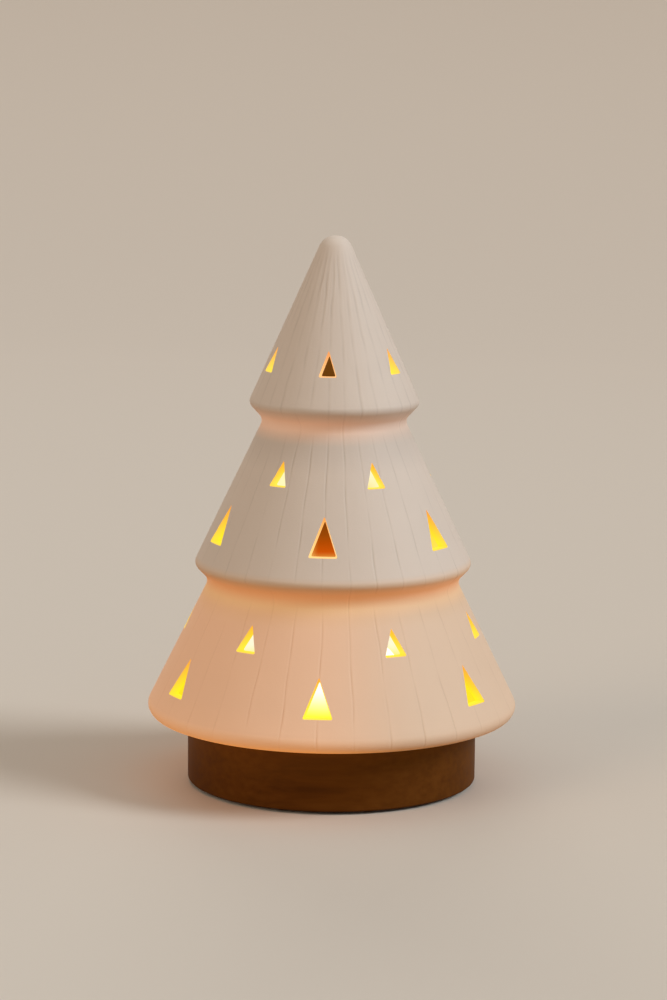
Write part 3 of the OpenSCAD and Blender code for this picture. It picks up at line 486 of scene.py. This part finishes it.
# Bisque porcelain, slip-cast and fired without glaze: matt, warm white, with a fine tooth, and the
# scored lines darkened by grey dust and painted shade. The lamp's light through the wall is painted
# on: a glow on the shade's floor, the lowest tier and both waists, weaker on the right, where the
# key lamp washes it out, but in the low waist stronger on the right. The base colour carries
# painted
# light too: warmer on the lowest tier and the low waist, and a darker band under the top lip as
# painted shade.
def bisque_outside():
    made, tree, shader = new_material("bisque_porcelain_outside")
    share, place = height_share(tree, SHADE_FLOOR, SHADE_TOP)
    # Body colour by height with painted light: warmer on the lowest tier and low waist for the glow
    # through the wall, and a darker band under the top lip as painted shade
    body = add(tree, "ShaderNodeValToRGB", {"Fac": share}, stops=(
        (0.0, "#e0ceb6"), (0.232, "#e0ceb6"), (0.268, "#dec8aa"), (0.29, "#dabea0"),
        (0.315, "#dec8aa"), (0.335, "#e3d7ca"), (0.53, "#e3d7ca"), (0.565, "#dbd0c4"),
        (0.60, "#d6ccc0"), (0.64, "#e3d7ca")))
    cloud = add(tree, "ShaderNodeTexNoise",
                {"Vector": place, "Scale": repeats(22.22), "Detail": 3.0})
    shade = add(tree, "ShaderNodeMapRange",
                {"Value": cloud.outputs["Fac"], "To Min": 0.96, "To Max": 1.02})
    # The scored lines are darkened by a tenth: grey dust, and painted shade in the grooves
    scored = add(tree, "ShaderNodeAttribute", attribute_name="scored")
    dust = add(tree, "ShaderNodeMapRange",
               {"Value": scored.outputs["Fac"], "To Min": 1.0, "To Max": 0.9})
    level = add(tree, "ShaderNodeMath", {0: shade.outputs[0], 1: dust.outputs[0]},
                operation="MULTIPLY")
    tone = add(tree, "ShaderNodeVectorMath",
               {"Vector": body.outputs["Color"], "Scale": level.outputs[0]}, operation="SCALE")
    # Painted glow of the lamp's light through the wall, as emission by height: on the shade's
    # floor, the lowest tier, the low waist and the high waist
    glow = add(tree, "ShaderNodeValToRGB", {"Fac": share}, stops=(
        (0.0, "#c8772c"), (0.012, "#9c5a20"), (0.035, "#804418"), (0.08, "#7a3f16"),
        (0.22, "#7a3f16"), (0.25, "#7a4416"), (0.27, "#825318"), (0.29, "#904d14"),
        (0.30, "#8a4712"), (0.31, "#6f3710"), (0.32, "#45220c"), (0.335, "#100804"),
        (0.40, "#000000"), (0.585, "#000000"), (0.613, "#784626"), (0.63, "#845236"),
        (0.645, "#5c3824"), (0.658, "#000000")))
    # The painted glow is weaker on the right, where the key lamp washes it out, except in the low
    # waist, where it is stronger on the right
    low_waist = add(tree, "ShaderNodeValToRGB", {"Fac": share}, stops=(
        (0.25, "#000000"), (0.31, "#ffffff"), (0.335, "#ffffff"), (0.37, "#000000")))
    at_right = add(tree, "ShaderNodeMapRange",
                   {"Value": low_waist.outputs["Color"], "To Min": 0.4, "To Max": 1.4})
    tooth = add(tree, "ShaderNodeTexNoise",
                {"Vector": place, "Scale": repeats(BISQUE_TOOTH), "Detail": 2.0})
    swell = add(tree, "ShaderNodeTexNoise",
                {"Vector": place, "Scale": repeats(BISQUE_SWELL), "Detail": 2.0})
    both = add(tree, "ShaderNodeMath", {0: tooth.outputs["Fac"], 1: swell.outputs["Fac"]},
               operation="ADD")
    bump = add(tree, "ShaderNodeBump", {
        "Height": both.outputs[0], "Strength": BISQUE_TOOTH_STRENGTH,
        "Distance": BISQUE_TOOTH_HEIGHT})
    plug(tree, shader, {
        "Base Color": tone.outputs[0],
        "Emission Color": glow.outputs["Color"],
        "Emission Strength": across(tree, place, *GLOW_LEFT_TO_RIGHT, 1.08, at_right.outputs[0]),
        "Roughness": 0.62,
        "Specular IOR Level": 0.35,
        "Normal": bump.outputs["Normal"],
    })
    return made


# The same porcelain on the inside, with the lamp's light painted on as emission: white where the
# lamp would shine on it, and amber to brown painted shadow over each waist, which the middle
# windows show.
# Towards the sides and the edge the painted light is brighter and yellower.
def bisque_lit_inside():
    made, tree, shader = new_material("bisque_porcelain_lit_inside")
    share, place = height_share(tree, SHADE_FLOOR, SHADE_TOP)
    middle = add(tree, "ShaderNodeValToRGB", {"Fac": share}, stops=(
        (0.0, "#ffd830"), (0.04, "#ffec40"), (0.07, "#fffad8"), (0.22, "#fffbe8"),
        (0.26, "#ffd860"), (0.295, "#c84b00"), (0.33, "#903e00"), (0.375, "#622c00"),
        (0.41, "#e89018"), (0.44, "#ffe480"), (0.48, "#fffbd8"), (0.56, "#fff4a8"),
        (0.62, "#a85c10"), (0.66, "#56310b"), (0.73, "#60370e"), (0.78, "#c88020"),
        (1.0, "#d89030")))
    sides = add(tree, "ShaderNodeValToRGB", {"Fac": share}, stops=(
        (0.0, "#ffe030"), (0.05, "#fff070"), (0.08, "#fffbd8"), (0.24, "#fffbe0"),
        (0.30, "#ffe860"), (0.36, "#ffdc40"), (0.41, "#fff08c"), (0.45, "#fffac0"),
        (0.56, "#fff4a0"), (0.62, "#ffd860"), (0.70, "#ffd848"), (0.76, "#ffe850"),
        (0.82, "#ffb850"), (1.0, "#d89030")))
    near = add(tree, "ShaderNodeMix", {
        MIX_SHARE: across(tree, place, *INSIDE_MIDDLE_TO_SIDES, both_sides=True),
        FIRST_COLOUR: middle.outputs["Color"],
        SECOND_COLOUR: sides.outputs["Color"]}, data_type="RGBA")
    light = add(tree, "ShaderNodeMix", {
        MIX_SHARE: across(tree, place, *INSIDE_SIDES_TO_EDGE, both_sides=True),
        FIRST_COLOUR: near.outputs[MIXED_COLOUR],
        SECOND_COLOUR: linear("#ffe424")}, data_type="RGBA")
    mottle = add(tree, "ShaderNodeTexNoise",
                 {"Vector": place, "Scale": repeats(16.67), "Detail": 3.0})
    level = add(tree, "ShaderNodeMapRange",
                {"Value": mottle.outputs["Fac"], "To Min": 0.92, "To Max": 1.08})
    mottled = add(tree, "ShaderNodeVectorMath",
                  {"Vector": light.outputs[MIXED_COLOUR], "Scale": level.outputs[0]},
                  operation="SCALE")
    # The base colour is dark brown, not the porcelain's white, so that the other lamps don't wash
    # out the painted light
    plug(tree, shader, {
        "Base Color": linear("#3a240c"),
        "Emission Color": mottled.outputs[0],
        "Emission Strength": 1.0,
        "Roughness": 0.7,
        "Specular IOR Level": 0.05,
    })
    return made


# Painted light on the cut faces of each row of windows, lowest row first: the colour over the sill,
# and the colour at the top. The front windows have one pair, and those to the sides have one at the
# outer edge and one further in.
CUT_IN_FRONT = (("#ffec30", "#f7a83c"), ("#ffe260", "#f6b040"), ("#ffd48c", "#f6a450"),
                ("#ffd060", "#f4a838"), ("#fcc488", "#ea9c5c"))
CUT_AT_EDGE = (("#ffd84a", "#f3a04a"), ("#ffdc58", "#f6b040"), ("#ffd858", "#f29a48"),
               ("#ffc850", "#f4a838"), ("#ffd66c", "#ee9c60"))
CUT_FURTHER_IN = (("#fff40c", "#ffb020"), ("#fff030", "#ffbe1c"), ("#fff218", "#ffaa20"),
                  ("#fff450", "#ffbc1c"), ("#fff040", "#ffbe50"))
OVER_SILL = 0.1  # share of a window's height


def row_stops(colours):
    """Stops of a colour ramp over the shade's height that give each row of windows its two
    colours."""
    stops = []
    for (_, tall, sill, _), (low, high) in zip(WINDOW_ROWS, colours):
        stops.append(((sill + tall * OVER_SILL) / SHADE_HEIGHT, low))
        stops.append(((sill + tall) / SHADE_HEIGHT, high))
    return stops


# The same porcelain on the cut faces of the windows, with the lamp's light painted on as emission:
# pale orange at the outer edge, where light seeps out of the wall, and yellow further in, brightest
# over the sill.
def bisque_lit_cut():
    made, tree, shader = new_material("bisque_porcelain_lit_cut")
    share, place = height_share(tree, SHADE_FLOOR, SHADE_TOP)
    in_front, at_edge, further_in = [
        add(tree, "ShaderNodeValToRGB", {"Fac": share}, stops=row_stops(colours)).outputs["Color"]
        for colours in (CUT_IN_FRONT, CUT_AT_EDGE, CUT_FURTHER_IN)]
    into_wall = add(tree, "ShaderNodeAttribute", attribute_name="into_wall")
    deep = add(tree, "ShaderNodeMapRange",
               {"Value": into_wall.outputs["Fac"], "To Min": 0.3, "To Max": 1.0})
    side_on = add(tree, "ShaderNodeMix", {
        MIX_SHARE: deep.outputs[0],
        FIRST_COLOUR: at_edge,
        SECOND_COLOUR: further_in}, data_type="RGBA")
    light = add(tree, "ShaderNodeMix", {
        MIX_SHARE: across(tree, place, *CUT_FRONT_TO_SIDES, both_sides=True),
        FIRST_COLOUR: in_front,
        SECOND_COLOUR: side_on.outputs[MIXED_COLOUR]}, data_type="RGBA")
    tooth = add(tree, "ShaderNodeTexNoise",
                {"Vector": place, "Scale": repeats(BISQUE_TOOTH), "Detail": 2.0})
    bump = add(tree, "ShaderNodeBump", {
        "Height": tooth.outputs["Fac"], "Strength": BISQUE_TOOTH_STRENGTH,
        "Distance": BISQUE_TOOTH_HEIGHT})
    # Under the painted light the cut faces have a dark tan base colour
    plug(tree, shader, {
        "Base Color": linear("#8c6a38"),
        "Emission Color": light.outputs[MIXED_COLOUR],
        "Emission Strength": 0.9,
        "Roughness": 0.65,
        "Specular IOR Level": 0.2,
        "Normal": bump.outputs["Normal"],
    })
    return made


def set_attribute(mesh, name, values):
    """Stores one value for each point of the mesh."""
    mesh.attributes.new(name, "FLOAT", "POINT").data.foreach_set("value", values)


def make_cutter():
    """One object with the cutters of all the windows."""
    points = []
    faces = []
    count = 0
    for width, tall, sill, turns in WINDOW_ROWS:
        for turn in turns:
            more_points, more_faces = window_cutter(width, tall, sill, turn, count)
            points.append(more_points)
            faces += more_faces
            count += len(more_points)
    return mesh_object("window_cutter", np.concatenate(points), faces)


def make_shade():
    """The shade with its windows cut out. Each point keeps how scored it is, and how far it lies
    into the wall: its distance inside the straight side of its tier over the wall's width."""
    points, faces, slots, scored = shade_surface()
    whole = mesh_object("shade_whole", points, faces)
    cutter = make_cutter()
    finishes = (bisque_outside(), bisque_lit_inside(), bisque_lit_cut())
    for finish in finishes:
        whole.data.materials.append(finish)
        cutter.data.materials.append(finish)
    cut_slot = len(finishes) - 1
    whole.data.polygons.foreach_set("material_index", slots)
    cutter.data.polygons.foreach_set("material_index", np.full(len(cutter.data.polygons), cut_slot))
    set_attribute(whole.data, "scored", scored)
    set_attribute(cutter.data, "scored", np.zeros(len(cutter.data.vertices)))
    cut = whole.modifiers.new("windows", "BOOLEAN")
    cut.operation = "DIFFERENCE"
    cut.solver = "MANIFOLD"
    cut.object = cutter
    shade = finished_copy(whole, "pierced_shade")
    bpy.data.objects.remove(cutter)

    mesh = shade.data
    place = np.empty(len(mesh.vertices) * 3)
    mesh.vertices.foreach_get("co", place)
    x, y, z = place.reshape(-1, 3).T
    inside = outside_radius(z - SHADE_FLOOR) - np.hypot(x, y)
    set_attribute(mesh, "into_wall", np.clip(inside / LEVEL_WALL, 0, 1))
    mesh.polygons.foreach_set("use_smooth", np.ones(len(mesh.polygons), bool))
    mesh.set_sharp_from_angle(angle=SHARP_EDGE)
    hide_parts("tree_shade")
    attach(shade, "shade")


# Turned beech, stained walnut brown and lacquered matt: dark pores along the grain, drawn wider
# than the real ones to show, in broad soft bands, and a painted glow of the lamp's light that grows
# towards the top, near the shade.
def stained_beech():
    made, tree, shader = new_material("stained_beech")
    low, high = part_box("wooden_base")
    share, place = height_share(tree, float(low[2]), float(high[2]))
    along = add(tree, "ShaderNodeMapping",
                {"Vector": place, "Scale": [repeats(width) for width in (33.33, 2.381, 2.381)]})
    fibre = add(tree, "ShaderNodeTexNoise",
                {"Vector": along.outputs[0], "Scale": 1.0, "Detail": 4.0})
    broad = add(tree, "ShaderNodeMapping",
                {"Vector": place, "Scale": [repeats(width) for width in (125.0, 14.29, 14.29)]})
    band = add(tree, "ShaderNodeTexNoise",
               {"Vector": broad.outputs[0], "Scale": 1.0, "Detail": 2.0})
    mixed = add(tree, "ShaderNodeMix", {
        MIX_SHARE: 0.45,
        FIRST_VALUE: fibre.outputs["Fac"],
        SECOND_VALUE: band.outputs["Fac"]})
    tone = add(tree, "ShaderNodeValToRGB", {"Fac": mixed.outputs[0]}, stops=(
        (0.32, "#522d0a"), (0.5, "#5f360c"), (0.68, "#6a3e12")))
    rough = add(tree, "ShaderNodeMapRange",
                {"Value": fibre.outputs["Fac"], "To Min": 0.46, "To Max": 0.62})
    bump = add(tree, "ShaderNodeBump",
               {"Height": fibre.outputs["Fac"], "Strength": 0.2, "Distance": 0.0001})
    # Painted glow of the lamp's light on the wood, from the middle up to the top
    light = add(tree, "ShaderNodeValToRGB", {"Fac": share}, stops=(
        (0.3, "#000000"), (0.7, "#1c1002"), (1.0, "#2e1a04")))
    plug(tree, shader, {
        "Base Color": tone.outputs["Color"],
        "Emission Color": light.outputs["Color"],
        "Emission Strength": 1.0,
        "Roughness": rough.outputs[0],
        "Specular IOR Level": 0.06,
        "Normal": bump.outputs["Normal"],
    })
    return made


# Moulded silicone: translucent grey-white, soft, a little dusty.
def silicone():
    made, tree, shader = new_material("moulded_silicone")
    place = add(tree, "ShaderNodeTexCoord").outputs["Object"]
    dust, tone = clouded(tree, place, 3.33, 4.0, ((0.35, "#c9c4ba"), (0.7, "#dad6cd")))
    bump = add(tree, "ShaderNodeBump", {"Height": dust, "Strength": 0.15, "Distance": 0.00005})
    plug(tree, shader, {
        "Base Color": tone,
        "Roughness": 0.5,
        "Subsurface Weight": 0.2,
        "Subsurface Scale": 0.001,
        "Normal": bump.outputs["Normal"],
    })
    return made


def moulded(name, dark, light, roughness, grain, lit=None):
    """A moulded plastic or a poured coat: two close tones in soft clouds, and a grain of that
    width in millimetres, drawn coarser than a real one to show. A lit one gives off its own
    colour at that strength."""
    made, tree, shader = new_material(name)
    place = add(tree, "ShaderNodeTexCoord").outputs["Object"]
    _, tone = clouded(tree, place, 11.11, 2.0, ((0.35, dark), (0.65, light)))
    speck = add(tree, "ShaderNodeTexNoise",
                {"Vector": place, "Scale": repeats(grain), "Detail": 2.0})
    bump = add(tree, "ShaderNodeBump",
               {"Height": speck.outputs["Fac"], "Strength": 0.25, "Distance": 0.00006})
    plug(tree, shader, {
        "Base Color": tone,
        "Roughness": roughness,
        "Normal": bump.outputs["Normal"],
    })
    if lit:
        plug(tree, shader, {"Emission Color": tone, "Emission Strength": lit})
    return made


# Opal acrylic over the lights: a milky diffuser, white hot at the shoulder, yellow near its foot.
def opal_acrylic():
    made, tree, shader = new_material("opal_acrylic")
    low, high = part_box("light_dome")
    share, place = height_share(tree, float(low[2]), float(high[2]))
    light = add(tree, "ShaderNodeValToRGB", {"Fac": share}, stops=(
        (0.0, "#ffd000"), (0.12, "#fff000"), (0.17, "#fff818"), (0.23, "#fff95e"),
        (0.31, "#fffa94"), (0.41, "#fffccc"), (0.49, "#fffdf0"), (1.0, "#fffdf0")))
    _, tone = clouded(tree, place, 8.33, 2.0, ((0.3, "#a89440"), (0.7, "#b4a04c")))
    plug(tree, shader, {
        "Base Color": tone,
        "Emission Color": light.outputs["Color"],
        "Emission Strength": 1.1,
        "Roughness": 0.35,
    })
    return made


def plated(name, dark, light, roughness, marks):
    """A plated metal: soft clouds of tone, and rubbing marks of these sizes in millimetres along
    the three axes, drawn coarser than real ones to show."""
    made, tree, shader = new_material(name)
    place = add(tree, "ShaderNodeTexCoord").outputs["Object"]
    _, tone = clouded(tree, place, 2.5, 3.0, ((0.35, dark), (0.7, light)))
    along = add(tree, "ShaderNodeMapping",
                {"Vector": place, "Scale": [repeats(width) for width in marks]})
    rubbed = add(tree, "ShaderNodeTexNoise",
                 {"Vector": along.outputs[0], "Scale": 1.0, "Detail": 3.0})
    rough = add(tree, "ShaderNodeMapRange", {
        "Value": rubbed.outputs["Fac"], "To Min": roughness * 0.8, "To Max": roughness * 1.3})
    bump = add(tree, "ShaderNodeBump",
               {"Height": rubbed.outputs["Fac"], "Strength": 0.15, "Distance": 0.00003})
    plug(tree, shader, {
        "Base Color": tone,
        "Metallic": 1.0,
        "Roughness": rough.outputs[0],
        "Normal": bump.outputs["Normal"],
    })
    return made


# Chip-on-package lights: a white case whose bowl is full of glowing yellow phosphor.
def phosphor():
    made, tree, shader = new_material("lit_phosphor")
    place = add(tree, "ShaderNodeTexCoord").outputs["Object"]
    _, tone = clouded(tree, place, 0.4, 2.0, ((0.35, "#e8b830"), (0.7, "#f6d468")))
    plug(tree, shader, {
        "Base Color": tone,
        "Emission Color": tone,
        "Emission Strength": 1.6,
        "Roughness": 0.4,
    })
    return made


# Shrink sleeve on the cells: glossy film in plain blue, slightly rippled where it has shrunk.
def shrink_sleeve():
    made, tree, shader = new_material("shrink_sleeve")
    place = add(tree, "ShaderNodeTexCoord").outputs["Object"]
    film, tone = clouded(tree, place, 5.0, 2.0, ((0.35, "#2c4f70"), (0.7, "#3a6286")))
    ripple = add(tree, "ShaderNodeBump", {"Height": film, "Strength": 0.1, "Distance": 0.0001})
    plug(tree, shader, {
        "Base Color": tone,
        "Roughness": 0.22,
        "Coat Weight": 0.3,
        "Normal": ripple.outputs["Normal"],
    })
    return made


def dress(material, *names):
    """Gives these nodes one material in all their slots."""
    for name in names:
        slots = nodes[name].data.materials
        if not len(slots):
            slots.append(material)
        for i in range(len(slots)):
            slots[i] = material


make_shade()
dress(stained_beech(), "wooden_base")
dress(silicone(), "pad_ring", "feet")
dress(opal_acrylic(), "light_dome")
dress(phosphor(), "lights")
dress(shrink_sleeve(), "batteries")
# Zinc plate: cool grey and half dull. Nickel plate: warmer, and a little brighter
zinc = plated("zinc_plated_steel", "#9a9c9f", "#c3c5c8", 0.32, (1.11, 1.11, 5.0))
nickel = plated("nickel_plated_steel", "#a8a49c", "#cbc7be", 0.26, (5.0, 0.833, 0.833))
dress(zinc, "lamp_plate_screws", "board_screws", "cover_screws", "switch_screws")
dress(nickel, "contact_plates", "contact_springs", "switch_body")
# ABS: satin with a fine grain. The white plate gets a faint painted glow for the lamp's light on it
black_abs = moulded("black_abs", "#17171a", "#202023", 0.55, 0.769)
dress(black_abs, "bottom_cover", "battery_door", "switch_knob")
dress(moulded("white_abs", "#d9d2c4", "#e8e2d6", 0.45, 0.667, lit=0.12), "lamp_plate")
# Solder mask and resistor glaze: smooth poured coats with some gloss
dress(moulded("white_solder_mask", "#dcdcd4", "#eceee6", 0.3, 0.4545), "circuit_board")
dress(moulded("resistor_glaze", "#101012", "#1b1b1e", 0.25, 0.4545), "resistors")
# Soft PVC on the wires: even colour and a waxy gloss
dress(moulded("red_pvc", "#a01812", "#b4241a", 0.3, 0.5556), "battery_lead", "switch_lead")
dress(moulded("black_pvc", "#18181b", "#222226", 0.3, 0.5556), "return_lead")

# Camera: as far from the lamp as the photograph's perspective says, a little to its right
CAMERA_AWAY = 1.2497
CAMERA_AZIMUTH = math.radians(4.5)
CAMERA_HEIGHT = 0.3221
CAMERA_DOWN = math.radians(9.187)
CAMERA_ROLL = math.radians(0.475)
CAMERA_REACH = 20.0  # how far it sees
FOCAL_SHARE = 3.0156  # focal length as a share of the picture's longer side
SENSOR = 36.0


def make_camera():
    """Camera that looks at the lamp's axis: its right, up and back vectors are worked out from
    the azimuth and the dip, and then turned by the roll."""
    lens = bpy.data.cameras.new("camera")
    lens.sensor_width = SENSOR
    lens.lens = SENSOR * FOCAL_SHARE
    lens.clip_end = CAMERA_REACH
    camera = bpy.data.objects.new("camera", lens)
    bpy.context.scene.collection.objects.link(camera)
    level = Vector((math.cos(CAMERA_AZIMUTH), math.sin(CAMERA_AZIMUTH), 0.0))
    to_axis = Vector((-level.y, level.x, 0.0))
    upright = Vector((0.0, 0.0, 1.0))
    ahead = to_axis * math.cos(CAMERA_DOWN) - upright * math.sin(CAMERA_DOWN)
    above = level.cross(ahead)
    right = level * math.cos(CAMERA_ROLL) + above * math.sin(CAMERA_ROLL)
    up = above * math.cos(CAMERA_ROLL) - level * math.sin(CAMERA_ROLL)
    turn = Matrix((right, up, -ahead)).transposed().to_4x4()
    place = upright * CAMERA_HEIGHT - to_axis * CAMERA_AWAY
    camera.matrix_world = Matrix.Translation(place) @ turn
    bpy.context.scene.camera = camera


def shown(tree):
    """Socket that is 1 for the rays that show the studio: from the camera, off gloss and metal, or
    through glass. It is 0 for the light that the studio gives."""
    ray = add(tree, "ShaderNodeLightPath").outputs
    seen = add(tree, "ShaderNodeMath", {0: ray["Is Camera Ray"], 1: ray["Is Glossy Ray"]},
               operation="MAXIMUM")
    seen = add(tree, "ShaderNodeMath", {0: seen.outputs[0], 1: ray["Is Transmission Ray"]},
               operation="MAXIMUM")
    return seen.outputs[0]


# Uncoated paper: matt and pale to the eye, while it bounces warm brown light onto the lamp
def pale_paper():
    made, tree, shader = new_material("pale_paper")
    tone = add(tree, "ShaderNodeMix", {
        MIX_SHARE: shown(tree),
        FIRST_COLOUR: linear("#8a6a48"),
        SECOND_COLOUR: linear("#d8d1c6")}, data_type="RGBA")
    plug(tree, shader, {
        "Base Color": tone.outputs[MIXED_COLOUR],
        "Roughness": 0.9,
        "Specular IOR Level": 0.1,
    })
    return made


# Sweep of paper: half its width, its front edge, where it starts to bend, the bend and its top
PAPER_HALF = 3.0
PAPER_FRONT = -2.5
PAPER_BACK = 1.5
PAPER_BEND = 0.8
PAPER_TOP = 2.5
PAPER_BEND_STEPS = 24


def make_stage():
    """Sweep of paper: flat, then a quarter circle, then upright. It takes shadows and casts none,
    so that the lamp behind it reaches the tree."""
    t = np.linspace(0, math.pi / 2, PAPER_BEND_STEPS + 1)
    bend_y = PAPER_BACK + PAPER_BEND * np.sin(t)
    bend_z = PAPER_BEND - PAPER_BEND * np.cos(t)
    y = np.concatenate([[PAPER_FRONT], bend_y, bend_y[-1:]])
    z = np.concatenate([[0.0], bend_z, [PAPER_TOP]])
    x = np.repeat([-PAPER_HALF, PAPER_HALF], len(y))
    here = np.arange(len(y) - 1)
    faces = np.stack([here, here + len(y), here + len(y) + 1, here + 1], axis=1).tolist()
    sweep = mesh_object("paper_sweep", np.stack([x, np.tile(y, 2), np.tile(z, 2)], axis=1), faces)
    sweep.data.polygons.foreach_set("use_smooth", np.ones(len(faces), bool))
    sweep.data.materials.append(pale_paper())
    sweep.visible_shadow = False


def far_lamp(name, place, spread, strength, colour):
    """A soft lamp so far off that it lights the paper evenly: it shines from a place through the
    middle of the tree, and its spread in degrees is its width as seen from there."""
    light = bpy.data.lights.new(name, "SUN")
    light.angle = math.radians(spread)
    light.energy = strength
    light.color = linear(colour)[:3]
    lamp = bpy.data.objects.new(name, light)
    lamp.rotation_euler = Vector(place).to_track_quat("Z", "Y").to_euler()
    bpy.context.scene.collection.objects.link(lamp)


def make_light():
    """A key on the right, a weaker fill on the left, a lamp from behind for the back, and an even
    room, which looks as pale as the paper."""
    far_lamp("key", (1.93, -0.45, 1.4), 24, 1.62, "#fbfcff")
    far_lamp("fill", (-1.6, -1.5, 0.9), 34, 0.64, "#ffdebc")
    far_lamp("back", (-0.35, 2.1, 0.95), 34, 0.8, "#fffaf2")
    world = bpy.data.worlds.new("room")
    world.use_nodes = True
    tree = world.node_tree
    seen = shown(tree)
    tone = add(tree, "ShaderNodeMix", {
        MIX_SHARE: seen,
        FIRST_COLOUR: linear("#fffaf4"),
        SECOND_COLOUR: linear("#c9c0b4")}, data_type="RGBA")
    strength = add(tree, "ShaderNodeMapRange", {"Value": seen, "To Min": 0.4, "To Max": 1.0})
    even = tree.nodes["Background"]
    plug(tree, even, {"Color": tone.outputs[MIXED_COLOUR], "Strength": strength.outputs[0]})
    bpy.context.scene.world = world


make_camera()
make_stage()
make_light()
bpy.context.scene.view_settings.view_transform = "Standard"

bpy.context.view_layer.update()
